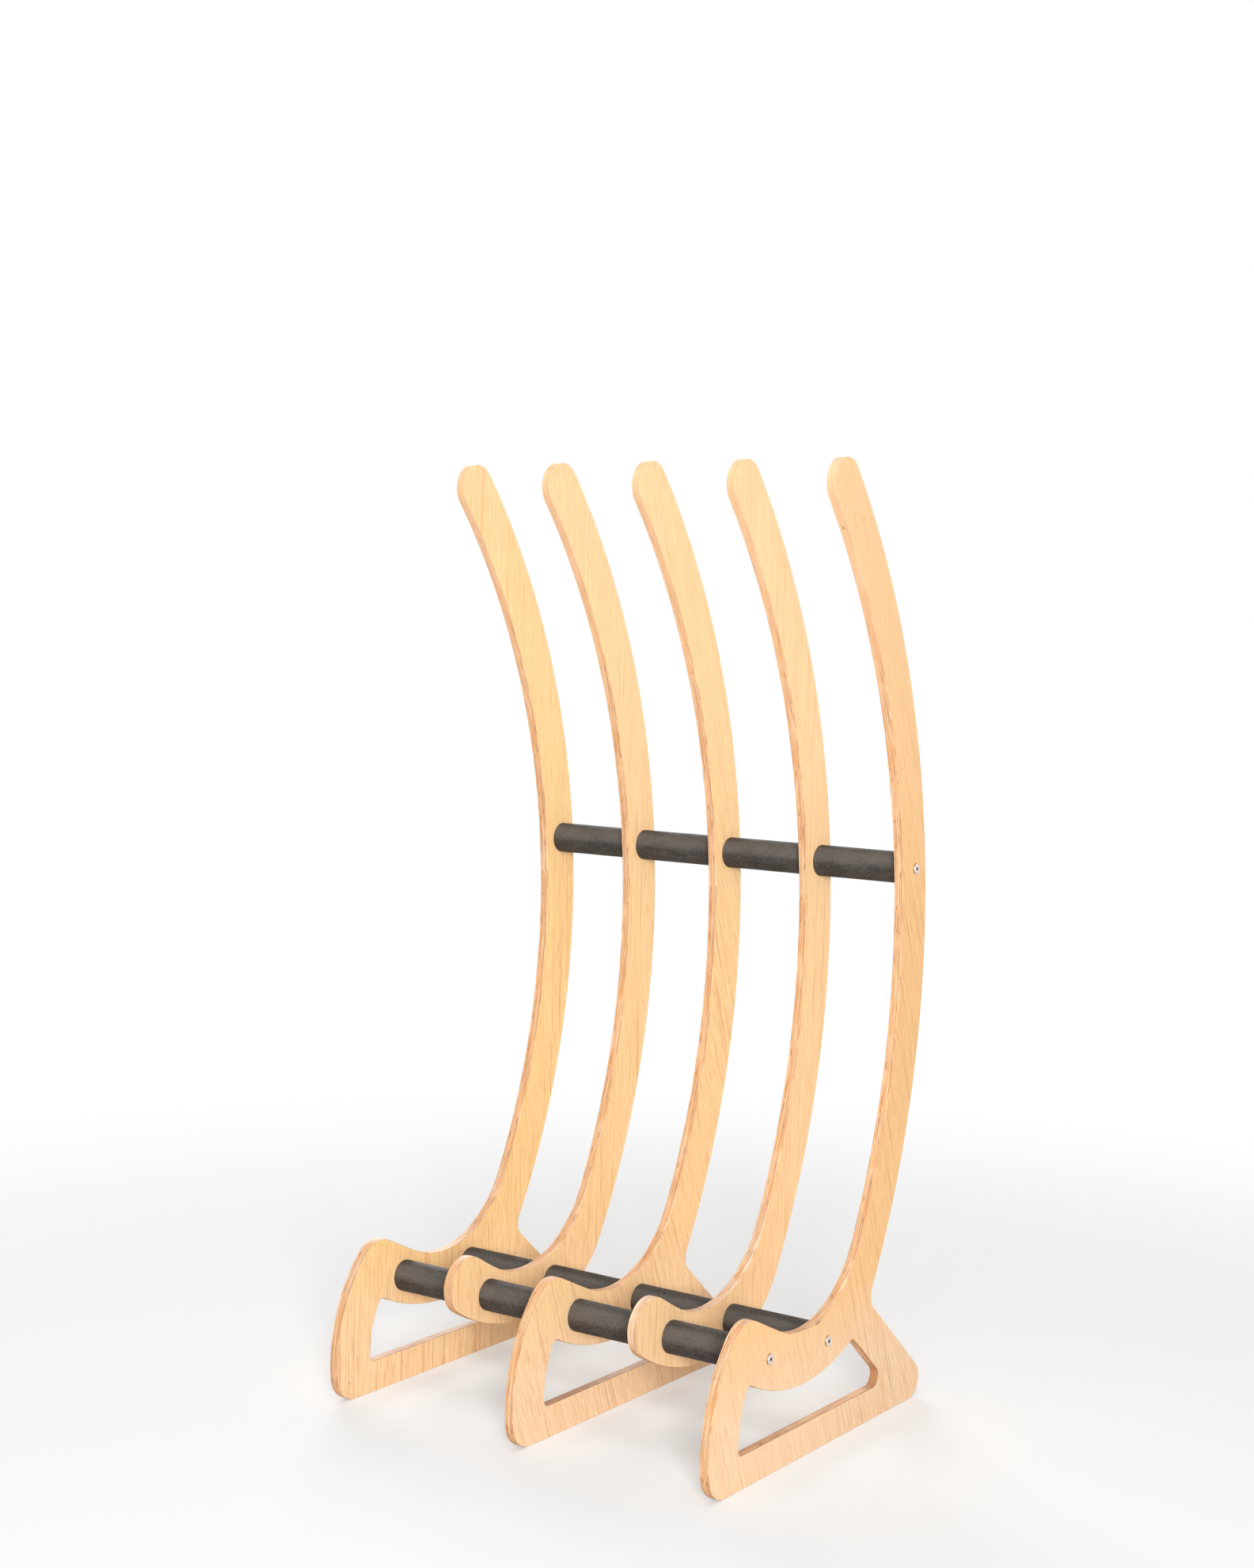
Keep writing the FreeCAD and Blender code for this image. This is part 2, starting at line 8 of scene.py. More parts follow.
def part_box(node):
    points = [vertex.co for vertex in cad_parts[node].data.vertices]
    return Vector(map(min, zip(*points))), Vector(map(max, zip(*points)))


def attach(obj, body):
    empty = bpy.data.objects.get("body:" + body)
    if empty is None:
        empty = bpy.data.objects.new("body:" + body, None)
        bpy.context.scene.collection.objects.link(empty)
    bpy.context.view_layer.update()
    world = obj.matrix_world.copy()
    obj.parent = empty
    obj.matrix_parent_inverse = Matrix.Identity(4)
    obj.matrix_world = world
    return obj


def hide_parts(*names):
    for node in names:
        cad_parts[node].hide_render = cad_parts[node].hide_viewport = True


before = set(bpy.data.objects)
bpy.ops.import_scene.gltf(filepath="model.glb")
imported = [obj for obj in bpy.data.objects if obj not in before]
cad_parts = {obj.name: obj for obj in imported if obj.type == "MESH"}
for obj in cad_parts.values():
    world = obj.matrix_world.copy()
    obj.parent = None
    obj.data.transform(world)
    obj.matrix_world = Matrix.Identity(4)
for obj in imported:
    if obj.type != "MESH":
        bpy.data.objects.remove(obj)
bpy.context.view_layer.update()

# The stand in metres, in the part's own frame: X along the row, +Y to the back, +Z up. Colours are linear.
# A name that ends in WAVES holds a noise's waves a metre along three axes. One that ends in REACH holds the
# distances at which a mark begins to fade and is gone. One that ends in PER_METRE holds the factors along
# three axes that bring such a distance to about 1. RISE, FALL and FADE are pairs of heights.

LINES = ("front", "rear", "upper")
BAYS = (1, 2, 3, 4)

# camera, fitted to the photograph's lines
IMAGE_HEIGHT = 1980
CAMERA_PLACE = Vector((2.0411, -3.0219, 1.2190))
CAMERA_AZIMUTH = math.radians(34.47)
CAMERA_ELEVATION = math.radians(3.83)
CAMERA_ROLL = math.radians(1.5)
FOCAL_PIXELS = 2967.5

# veneer on the panels' faces; the waves run through the sheet, across the grain and along it
VENEER_PALE = (0.95, 0.73, 0.49, 1)
VENEER_WARM = (0.93, 0.62, 0.37, 1)
VENEER_PINK = (0.93, 0.64, 0.40, 1)
VENEER_HONEY = (0.94, 0.57, 0.25, 1)
VENEER_GOLD = (0.97, 0.68, 0.27, 1)
VENEER_FIBRE = (0.84, 0.50, 0.26, 1)
VENEER_LINE = (0.62, 0.28, 0.10, 1)
LEANING_GRAIN = math.radians(21)
UPRIGHT_GRAIN = 0.0
BROAD_WAVES = (3, 16, 0.9)
STREAK_WAVES = (5, 150, 2.2)
FIBRE_WAVES = (20, 800, 30)
VEIN_WAVES = (3, 190, 1.4)
BREAK_WAVES = (6, 130, 7)
PORE_WAVES = (25, 720, 32)

# where the veneer changes with height, and between which Y its lines go from front strength to back strength
TONE_RISE = (0.08, 0.27)
TONE_FADE = (0.6, 1.4)
LINES_FADE = (0.75, 0.95)
LINES_FRONT_TO_BACK = (-0.05, 0.2)

# single marks on the faces and edges: streaks that wander a little, pin knots, core gaps and splinters
STREAK_REACH = (0.0002, 0.0011)
STREAK_WANDER = 0.001
WANDER_WAVES = (1, 40, 40)
KNOT_REACH = (0.0007, 0.0021)
KNOT_SQUEEZE = 0.55
VOID_PER_METRE = (1100, 260, 260)
CHIP_PER_METRE = (300, 130, 600)
CHIP_WAVES = (300, 300, 300)

# plies on the panels' edges; the waves run through the sheet or from ply to ply, to the back and up; joints
# waver by a share of the thickness, and each ply lies so far apart from the next in the noise; end grain and
# crossed plies are shaded
PLY_COUNT = 5
PLY_WAVER = 0.025
PLY_APART = 0.37
PLY_LONG = (0.90, 0.565, 0.325, 1)
PLY_PALE = (0.95, 0.73, 0.54, 1)
PLY_END = (0.80, 0.46, 0.235, 1)
PLY_AMBER = (0.82, 0.41, 0.165, 1)
PLY_DARK = (0.50, 0.225, 0.09, 1)
PLY_GLUE = (0.26, 0.11, 0.05, 1)
PLY_VOID = (0.08, 0.035, 0.018, 1)
# the next colour is painted shade in a foot's opening, and also darkens patches along the arrises
PLY_SHADE_BROWN = (0.36, 0.165, 0.07, 1)
END_GRAIN_SHADE = 0.3
CROSSED_SHADE = 0.28
WAVER_WAVES = (0, 9, 9)
TONE_WAVES = (1, 14, 14)
AMBER_WAVES = (0.6, 22, 22)
HAIR_WAVES = (620, 12, 12)
ARRIS_DARK_WAVES = (3, 34, 34)
GLUE_WAVES = (3, 24, 24)
GAP_WAVES = (7, 48, 48)

# where the plies turn pale at the cradle and turn back, where their shades fade higher up as painted light,
# and where their marks fade
PALE_RISE = (0.12, 0.2)
PALE_FALL = (0.26, 0.36)
SHADE_FADE = (0.8, 1.2)
MARKS_FADE = (1.0, 1.4)

# painted shade in a foot's opening: on low edges that face up, and in the inner corner at its heel
RAIL_FADE = (0.1, 0.12)
HEEL_CORNER = (0, 0.160, 0.064)
HEEL_REACH = (0.012, 0.0288)

# foam of the sleeves, the way that its side with a painted highlight faces, and its cells a metre
FOAM_DARK = (0.026, 0.022, 0.019, 1)
FOAM_PALE = (0.115, 0.102, 0.092, 1)
FOAM_LIT_WAY = (0.0, -0.866, 0.5)
FOAM_CELLS = 620.0
SPECKLE_WAVES = (520, 620, 620)
CLOUD_WAVES = (26, 60, 60)

# metal and plastic
BOLT_PALE = (0.90, 0.79, 0.72, 1)
BOLT_DARK = (0.74, 0.63, 0.56, 1)
# the next two colours are painted shade: on the rim of a bolt's head, and down in its socket
BOLT_RIM_SHADE = (0.42, 0.31, 0.22, 1)
BOLT_SOCKET_SHADE = (0.14, 0.12, 0.11, 1)
BOLT_ROUGHNESS = 0.3
BOLT_WAVES = (300, 700, 700)
SOCKET_REACH = (0.0024, 0.0030)
STUD_PALE = (0.78, 0.76, 0.74, 1)
STUD_DARK = (0.55, 0.53, 0.52, 1)
STUD_ROUGHNESS = 0.3
STUD_WAVES = (300, 900, 900)
TUBE_PALE = (0.80, 0.80, 0.81, 1)
TUBE_DARK = (0.66, 0.66, 0.67, 1)
TUBE_ROUGHNESS = 0.34
TUBE_WAVES = (14, 900, 900)
PLASTIC_PALE = (0.035, 0.035, 0.036, 1)
PLASTIC_DARK = (0.018, 0.018, 0.019, 1)
PLASTIC_WAVES = (900, 900, 900)


class Panel:
    """How one panel's veneer lies, and the marks that single it out.

    grain: how far the grain leans from upright
    shift: where the panel lies in the noise, so that no two match
    tone, honey: the colour that the veneer turns to, and how far at the foot and above it
    pale: how far the plies fade at the cradle
    open_grain: how strong the lines and pores are at the front and at the back
    rail: how much painted shade darkens the lower edge of the opening
    streaks: thin dark lines, each from one (y, z) on the face to another
    knots: each a (y, z) on the face
    voids: gaps in a core ply, each an (x, y, z) on an edge
    chips: splinters gone from a corner, each an (x, y, z) and a tilt from level
    """

    def __init__(self, grain, shift, tone, honey, pale, open_grain, rail=0.0,
                 streaks=(), knots=(), voids=(), chips=()):
        self.grain = grain
        self.shift = shift
        self.tone = tone
        self.honey = honey
        self.pale = pale
        self.open_grain = open_grain
        self.rail = rail
        self.streaks = streaks
        self.knots = knots
        self.voids = voids
        self.chips = chips


PANELS = {
    "left_end_panel": Panel(
        grain=UPRIGHT_GRAIN, shift=0.0, tone=VENEER_GOLD, honey=(0.25, 0.75), pale=0.6,
        open_grain=(1.2, 1.2), rail=0.5,
        knots=((-0.2844, 0.0284),),
        voids=((-0.3420, -0.2475, 0.2366),),
    ),
    "left_divider_panel": Panel(
        grain=UPRIGHT_GRAIN, shift=3.7, tone=VENEER_GOLD, honey=(0.2, 0.5), pale=0.35,
        open_grain=(1.0, 1.0),
    ),
    "centre_panel": Panel(
        grain=LEANING_GRAIN, shift=7.3, tone=VENEER_GOLD, honey=(0.0, 0.55), pale=0.1,
        open_grain=(1.1, 1.2), rail=0.7,
        streaks=(((-0.2909, 0.1139), (-0.2464, 0.0010)),),
        voids=((0.000, -0.3115, 0.0234),),
    ),
    "right_divider_panel": Panel(
        grain=UPRIGHT_GRAIN, shift=11.9, tone=VENEER_GOLD, honey=(0.2, 0.4), pale=1.0,
        open_grain=(0.8, 0.8),
    ),
    "right_end_panel": Panel(
        grain=LEANING_GRAIN, shift=16.1, tone=VENEER_HONEY, honey=(0.0, 1.0), pale=0.35,
        open_grain=(0.6, 1.2),
        streaks=(
            ((-0.0458, 0.1616), (-0.0347, 0.1251)),
            ((-0.1596, 0.1546), (-0.1489, 0.1305)),
            ((0.1520, 0.2826), (0.1697, 0.2416)),
            ((0.0074, 1.4072), (0.0239, 1.3603)),
        ),
        knots=((0.0414, 1.3847),),
        voids=(
            (0.3420, -0.2803, 0.1809),
            (0.3455, -0.1691, 0.0490),
            (0.3400, -0.0433, 1.4600),
            (0.3420, -0.0061, 1.3707),
        ),
        chips=(((0.3495, -0.0186, 0.1940), math.radians(18)),),
    ),
}


class Graph:
    """Nodes of a material or world. An input given as a socket is linked, and any other value is set."""

    def __init__(self, owner):
        owner.use_nodes = True
        self.owner = owner
        self.tree = owner.node_tree
        self.tree.nodes.clear()

    def add(self, kind, inputs, **settings):
        node = self.tree.nodes.new("ShaderNode" + kind)
        for name, value in settings.items():
            setattr(node, name, value)
        for key, value in inputs.items():
            if isinstance(value, bpy.types.NodeSocket):
                self.tree.links.new(value, node.inputs[key])
            else:
                node.inputs[key].default_value = value
        return node

    def math(self, operation, first, second=0.0):
        return self.add("Math", {0: first, 1: second}, operation=operation).outputs[0]

    def product(self, first, second):
        return self.math("MULTIPLY", first, second)

    def vector(self, operation, first, second=(0, 0, 0)):
        return self.add("VectorMath", {0: first, 1: second}, operation=operation).outputs[0]

    def dot(self, vector, way):
        return self.add("VectorMath", {0: vector, 1: way}, operation="DOT_PRODUCT").outputs["Value"]

    def length(self, vector):
        return self.add("VectorMath", {0: vector}, operation="LENGTH").outputs["Value"]

    def split(self, vector):
        return self.add("SeparateXYZ", {"Vector": vector}).outputs

    def span(self, value, low, high, start=0.0, end=1.0):
        """Start at low, end at high, and smooth between them."""
        limits = {"Value": value, "From Min": low, "From Max": high, "To Min": start, "To Max": end}
        return self.add("MapRange", limits, interpolation_type="SMOOTHSTEP").outputs[0]

    def mix(self, factor, first, second):
        return self.add("Mix", {0: factor, 6: first, 7: second}, data_type="RGBA").outputs[2]

    def noise(self, vector, waves, detail=2.0, roughness=0.5):
        """Noise with so many waves a metre along each axis."""
        stretched = self.vector("MULTIPLY", vector, waves)
        settings = {"Vector": stretched, "Scale": 1.0, "Detail": detail, "Roughness": roughness}
        return self.add("TexNoise", settings).outputs[0]

    def place(self):
        """The point that is shaded, in the part's frame."""
        return self.add("TexCoord", {}).outputs["Object"]

    def normal(self):
        return self.add("NewGeometry", {}).outputs["Normal"]

    def finish(self, shader, output="OutputMaterial"):
        self.add(output, {"Surface": shader.outputs[0]})
        return self.owner


def new_material(name):
    return Graph(bpy.data.materials.new(name))


def grain_frame(graph, place, panel):
    """Coordinates with Y across the grain and Z along it, shifted so that no two panels match."""
    turned = graph.add("VectorRotate", {"Vector": place, "Angle": -panel.grain}, rotation_type="X_AXIS")
    return graph.vector("ADD", turned.outputs[0], (0, panel.shift, 2 * panel.shift))


def veneer_colour(graph, place, panel):
    """Pale face veneer: broad bands, streaks, fine fibres, thin dark lines and pores."""
    grain = grain_frame(graph, place, panel)
    _, back, height = graph.split(place)
    broad = graph.noise(grain, BROAD_WAVES)
    streak = graph.noise(grain, STREAK_WAVES, detail=4, roughness=0.6)
    fibre = graph.noise(grain, FIBRE_WAVES, detail=3, roughness=0.6)
    vein = graph.math("SUBTRACT", graph.noise(grain, VEIN_WAVES, roughness=0.4), 0.5)
    broken = graph.noise(grain, BREAK_WAVES)
    pore = graph.noise(grain, PORE_WAVES)

    at_foot, above = panel.honey
    honey = graph.span(height, *TONE_RISE, start=at_foot, end=above)
    honey = graph.product(honey, graph.span(height, *TONE_FADE, start=1, end=0.6))
    colour = graph.mix(graph.span(streak, 0.3, 0.7, start=0.15, end=0.85), VENEER_WARM, VENEER_PALE)
    colour = graph.mix(graph.span(broad, 0.45, 0.75, end=0.6), colour, VENEER_PINK)
    colour = graph.mix(honey, colour, panel.tone)
    colour = graph.mix(graph.span(fibre, 0.3, 0.62, start=0.6, end=0), colour, VENEER_FIBRE)

    at_front, at_back = panel.open_grain
    open_grain = graph.span(back, *LINES_FRONT_TO_BACK, start=at_front, end=at_back)
    open_grain = graph.product(open_grain, graph.span(height, *LINES_FADE, start=1, end=0.6))
    thin = graph.span(graph.math("ABSOLUTE", vein), 0.006, 0.04, start=1, end=0)
    lines = graph.product(thin, graph.span(broken, 0.38, 0.64, start=0.08, end=0.52))
    colour = graph.mix(graph.product(open_grain, lines), colour, VENEER_LINE)
    pores = graph.product(open_grain, graph.span(pore, 0.54, 0.70, end=0.45))
    return graph.mix(pores, colour, VENEER_LINE), fibre, pores


def streak_mask(graph, place, start, end):
    """A thin dark line that tapers out at both ends."""
    start, end = Vector((0, *start)), Vector((0, *end))
    along = (end - start).normalized()
    aside = Vector((0, -along.z, along.y))
    middle = (start + end) / 2
    half = (end - start).length / 2
    from_middle = graph.vector("SUBTRACT", place, middle)
    wander = graph.noise(place, WANDER_WAVES, detail=1)
    wander = graph.span(wander, 0.3, 0.7, start=-STREAK_WANDER, end=STREAK_WANDER)
    off = graph.math("ADD", graph.dot(from_middle, aside), wander)
    thin = graph.span(graph.math("ABSOLUTE", off), *STREAK_REACH, start=1, end=0)
    far = graph.math("ABSOLUTE", graph.dot(from_middle, along))
    return graph.product(thin, graph.span(far, 0.4 * half, half, start=0.5, end=0))


def knot_mask(graph, place, centre):
    """A pin knot, a little longer along the grain."""
    offset = graph.vector("MULTIPLY", graph.vector("SUBTRACT", place, (0, *centre)), (0, 1, KNOT_SQUEEZE))
    return graph.span(graph.length(offset), *KNOT_REACH, start=0.85, end=0)


def void_mask(graph, place, centre):
    """A gap in a core ply, a short dark slot along the edge."""
    offset = graph.vector("MULTIPLY", graph.vector("SUBTRACT", place, centre), VOID_PER_METRE)
    return graph.span(graph.length(offset), 0.7, 1.2, start=0.9, end=0)


def chip_mask(graph, place, centre, tilt):
    """A splinter gone from the corner between a face and an edge, along a tilt from level."""
    offset = graph.vector("SUBTRACT", place, centre)
    along = graph.add("VectorRotate", {"Vector": offset, "Angle": -tilt}, rotation_type="X_AXIS").outputs[0]
    reach = graph.length(graph.vector("MULTIPLY", along, CHIP_PER_METRE))
    ragged = graph.span(graph.noise(place, CHIP_WAVES), 0.3, 0.7, start=-0.3, end=0.3)
    return graph.span(graph.math("ADD", reach, ragged), 0.8, 1.1, start=0.9, end=0)


class Plies:
    """Where the points of an edge lie among the plies of their panel, as sockets of a graph."""

    def __init__(self, graph, place, low, thickness):
        across, back, self.height = graph.split(place)
        waver = graph.span(graph.noise(place, WAVER_WAVES), 0.2, 0.8, start=-PLY_WAVER, end=PLY_WAVER)
        depth = graph.math("DIVIDE", graph.math("SUBTRACT", across, low), thickness)
        depth = graph.math("ADD", depth, waver)
        count = graph.product(depth, float(PLY_COUNT))
        number = graph.math("FLOOR", count)
        own = graph.product(number, PLY_APART)
        self.crossed = graph.math("MODULO", number, 2.0)
        self.from_joint = graph.math("PINGPONG", graph.math("FRACT", count), 0.5)
        self.from_middle = graph.math("ABSOLUTE", graph.math("SUBTRACT", depth, 0.5))
        self.place = graph.add("CombineXYZ", {"X": own, "Y": back, "Z": self.height}).outputs[0]
        self.marked = graph.span(self.height, *MARKS_FADE, start=1.0, end=0.3)


def end_grain(graph, normal, panel, plies):
    """How far the edge cuts across the grain of the ply that it shows, from 0 to 1."""
    along = (0, math.sin(panel.grain), -math.cos(panel.grain))
    aside = (0, math.cos(panel.grain), math.sin(panel.grain))
    of_face_plies = graph.math("ABSOLUTE", graph.dot(normal, along))
    of_cross_plies = graph.math("ABSOLUTE", graph.dot(normal, aside))
    swap = graph.product(plies.crossed, graph.math("SUBTRACT", of_cross_plies, of_face_plies))
    return graph.math("ADD", of_face_plies, swap)


def ply_colour(graph, place, normal, panel, plies):
    """Plies paler at the cradle and, as painted light, towards the top; darker where end grain shows, amber
    in patches and finely lined.
    """
    tone = graph.noise(plies.place, TONE_WAVES, detail=3)
    amber = graph.noise(plies.place, AMBER_WAVES)
    hair = graph.noise(place, HAIR_WAVES, detail=3, roughness=0.6)

    shade = graph.product(end_grain(graph, normal, panel, plies), END_GRAIN_SHADE)
    shade = graph.math("ADD", shade, graph.product(plies.crossed, CROSSED_SHADE))
    shade = graph.math("ADD", shade, graph.span(tone, 0.3, 0.7, start=-0.25, end=0.5))
    faded = graph.span(plies.height, *PALE_FALL, start=panel.pale, end=0)
    faded = graph.product(graph.span(plies.height, *PALE_RISE), faded)
    # painted light: the plies' shades fade higher up, so the edges turn paler towards the top
    strength = graph.span(plies.height, *SHADE_FADE, start=1.0, end=0.3)
    strength = graph.math("SUBTRACT", strength, graph.product(faded, 0.5))

    colour = graph.mix(faded, PLY_LONG, PLY_PALE)
    colour = graph.mix(graph.product(shade, strength), colour, PLY_END)
    patches = graph.product(plies.marked, graph.span(amber, 0.47, 0.66, end=0.7))
    colour = graph.mix(patches, colour, PLY_AMBER)
    lines = graph.product(plies.marked, graph.span(hair, 0.38, 0.58, start=0.7, end=0))
    return graph.mix(lines, colour, PLY_DARK)


def painted_shade_and_dark_arrises(graph, place, normal, panel, plies, colour):
    """Plies with painted shade at the opening's heel and lower edge, and darker in patches along the
    arrises.
    """
    # painted shade in the inner corner at the opening's heel
    from_heel = graph.vector("MULTIPLY", graph.vector("SUBTRACT", place, HEEL_CORNER), (0, 1, 1))
    heel = graph.span(graph.length(from_heel), *HEEL_REACH, start=0.75, end=0)
    colour = graph.mix(heel, colour, PLY_SHADE_BROWN)

    # painted shade on the low edges that face up in the opening
    facing_up = graph.span(graph.dot(normal, (0, 0, 1)), 0.15, 0.4)
    rail = graph.product(facing_up, graph.span(plies.height, *RAIL_FADE, start=1, end=0))
    rail = graph.product(rail, graph.span(plies.from_middle, 0.38, 0.44, start=panel.rail, end=0.8))
    # darker in patches along the arrises
    dark_arris = graph.span(graph.noise(plies.place, ARRIS_DARK_WAVES, detail=3), 0.48, 0.58, end=0.8)
    dark_arris = graph.product(dark_arris, graph.span(plies.from_middle, 0.40, 0.45))
    dark_arris = graph.product(dark_arris, plies.marked)
    return graph.mix(graph.math("MAXIMUM", rail, dark_arris), colour, PLY_SHADE_BROWN)


def edge_colour(graph, place, normal, panel, low, thickness):
    """Plies along the edge with their glue lines and core gaps, and how far those are sunk."""
    plies = Plies(graph, place, low, thickness)
    colour = ply_colour(graph, place, normal, panel, plies)
    colour = painted_shade_and_dark_arrises(graph, place, normal, panel, plies, colour)

    dark = graph.span(graph.noise(plies.place, GLUE_WAVES), 0.42, 0.60, start=0.2)
    glue = graph.span(plies.from_joint, 0.06, 0.19, start=1, end=0)
    glue = graph.product(glue, graph.product(plies.marked, dark))
    colour = graph.mix(glue, colour, PLY_GLUE)

    core = graph.product(graph.span(plies.from_joint, 0.26, 0.4), plies.crossed)
    gaps = graph.span(graph.noise(plies.place, GAP_WAVES), 0.60, 0.66, end=0.9)
    gaps = graph.product(core, graph.product(plies.marked, gaps))
    return graph.mix(gaps, colour, PLY_GLUE), graph.math("ADD", glue, gaps)


def plywood(node, panel):
    """Veneered plywood for one panel: veneer on its two faces, plies on every edge."""
    low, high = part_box(node)
    graph = new_material("plywood_" + node)
    place = graph.place()
    normal = graph.normal()
    facing, _, _ = graph.split(normal)
    on_face = graph.span(graph.math("ABSOLUTE", facing), 0.80, 0.96)
    on_right = graph.span(facing, 0.5, 0.9)

    face, fibre, pores = veneer_colour(graph, place, panel)
    marks = [streak_mask(graph, place, start, end) for start, end in panel.streaks]
    marks += [knot_mask(graph, place, centre) for centre in panel.knots]
    for mark in marks:
        face = graph.mix(graph.product(on_right, mark), face, VENEER_LINE)

    edge, sunk = edge_colour(graph, place, normal, panel, low.x, high.x - low.x)
    for centre in panel.voids:
        edge = graph.mix(void_mask(graph, place, centre), edge, PLY_VOID)

    colour = graph.mix(on_face, edge, face)
    for centre, tilt in panel.chips:
        colour = graph.mix(chip_mask(graph, place, centre, tilt), colour, PLY_GLUE)
    sunk = graph.math("MAXIMUM", sunk, graph.product(pores, 0.25))
    height = graph.math("SUBTRACT", graph.product(fibre, 0.15), sunk)
    bump = graph.add("Bump", {"Height": height, "Strength": 0.35, "Distance": 0.0003})
    shader = graph.add("BsdfPrincipled", {
        "Base Color": colour,
        "Roughness": graph.span(fibre, 0.3, 0.7, start=0.58, end=0.46),
        "Specular IOR Level": 0.35,
        "Normal": bump.outputs[0],
    })
    return graph.finish(shader)


def foam():
    """Closed-cell foam: dark, matte and finely speckled, with a painted highlight on its upper front."""
    graph = new_material("foam")
    place = graph.place()
    cells = graph.add("TexVoronoi", {"Vector": place, "Scale": FOAM_CELLS}).outputs["Distance"]
    speckle = graph.noise(place, SPECKLE_WAVES, detail=3, roughness=0.75)
    cloud = graph.noise(place, CLOUD_WAVES, detail=4)
    # painted highlight where the foam faces up and to the front
    painted_highlight = graph.span(graph.dot(graph.normal(), FOAM_LIT_WAY), 0.78, 1.0, end=0.5)
    tone = graph.span(speckle, 0.42, 0.62, end=0.6)
    tone = graph.math("ADD", tone, graph.span(cloud, 0.3, 0.7, start=-0.05, end=0.2))
    height = graph.math("ADD", cells, speckle)
    bump = graph.add("Bump", {"Height": height, "Strength": 0.5, "Distance": 0.0004})
    shader = graph.add("BsdfPrincipled", {
        "Base Color": graph.mix(graph.math("ADD", tone, painted_highlight), FOAM_DARK, FOAM_PALE),
        "Roughness": graph.span(speckle, 0.3, 0.7, start=0.55, end=0.7),
        "Specular IOR Level": 0.15,
        "Normal": bump.outputs[0],
    })
    return graph.finish(shader)


def painted_bolt_shade(graph, place, colour):
    """Colour of bolt heads: painted shade, brown on the rim and dark in the sockets, which lie on the tubes'
    axes.
    """
    facing, _, _ = graph.split(graph.normal())
    # painted shade on the rim of the head
    rim = graph.span(graph.math("ABSOLUTE", facing), 0.3, 0.8, start=1, end=0)
    colour = graph.mix(rim, colour, BOLT_RIM_SHADE)
    for line in LINES:
        # painted shade down in each socket
        low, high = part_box("%s_core_tube_1" % line)
        offset = graph.vector("MULTIPLY", graph.vector("SUBTRACT", place, (low + high) / 2), (0, 1, 1))
        socket = graph.span(graph.length(offset), *SOCKET_REACH, start=1, end=0)
        colour = graph.mix(socket, colour, BOLT_SOCKET_SHADE)
    return colour


def metal(name, pale, dark, roughness, waves, bolt=False):
    """Bare metal with fine tool marks. A bolt's head has painted shade on its rim and in its socket."""
    graph = new_material(name)
    place = graph.place()
    marks = graph.noise(place, waves, detail=3, roughness=0.65)
    bump = graph.add("Bump", {"Height": marks, "Strength": 0.12, "Distance": 0.0001})
    colour = graph.mix(graph.span(marks, 0.3, 0.7), dark, pale)
    if bolt:
        colour = painted_bolt_shade(graph, place, colour)
    shader = graph.add("BsdfPrincipled", {
        "Base Color": colour,
        "Metallic": 1.0,
        "Roughness": graph.span(marks, 0.3, 0.7, start=roughness - 0.06, end=roughness + 0.08),
        "Normal": bump.outputs[0],
    })
    return graph.finish(shader)


def moulded_plastic():
    """Black plastic of the tube plugs, with a fine moulded texture."""
    graph = new_material("moulded_plastic")
    grain = graph.noise(graph.place(), PLASTIC_WAVES)
    bump = graph.add("Bump", {"Height": grain, "Strength": 0.2, "Distance": 0.0002})
    shader = graph.add("BsdfPrincipled", {
        "Base Color": graph.mix(grain, PLASTIC_DARK, PLASTIC_PALE),
        "Roughness": graph.span(grain, 0.3, 0.7, start=0.42, end=0.58),
        "Normal": bump.outputs[0],
    })
    return graph.finish(shader)


def dress(node, material):
    """Gives a CAD node its finish."""
    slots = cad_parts[node].data.materials
    slots.clear()
    slots.append(material)


# mesh of a foam sleeve: its skin wavers, and its bore clears the core tube
SLEEVE_SEGMENTS = 96
SLEEVE_RINGS = 44
SLEEVE_END_ROUND = 0.0016
SLEEVE_ROUND_STEPS = 4
SLEEVE_SHARP = math.radians(50)
SLEEVE_WAVER = 0.00022
SLEEVE_WAVES = 28
SLEEVE_CLEARANCE = 0.0002


def sleeve_profile(length, outer, inner):
    """Section of a sleeve as (along, radius) pairs: bore, rounded end, skin, rounded end and bore."""
    start = []
    for step in range(SLEEVE_ROUND_STEPS + 1):
        turn = math.pi / 2 * step / SLEEVE_ROUND_STEPS
        inset = SLEEVE_END_ROUND * (1 - math.sin(turn))
        start.append((inset, outer - SLEEVE_END_ROUND * (1 - math.cos(turn))))
    start.reverse()
    straight = length - 2 * SLEEVE_END_ROUND
    skin = [(SLEEVE_END_ROUND + straight * step / SLEEVE_RINGS, outer) for step in range(1, SLEEVE_RINGS)]
    end = [(length - along, radius) for along, radius in reversed(start)]
    return [(0.0, inner)] + start + skin + end + [(length, inner)]


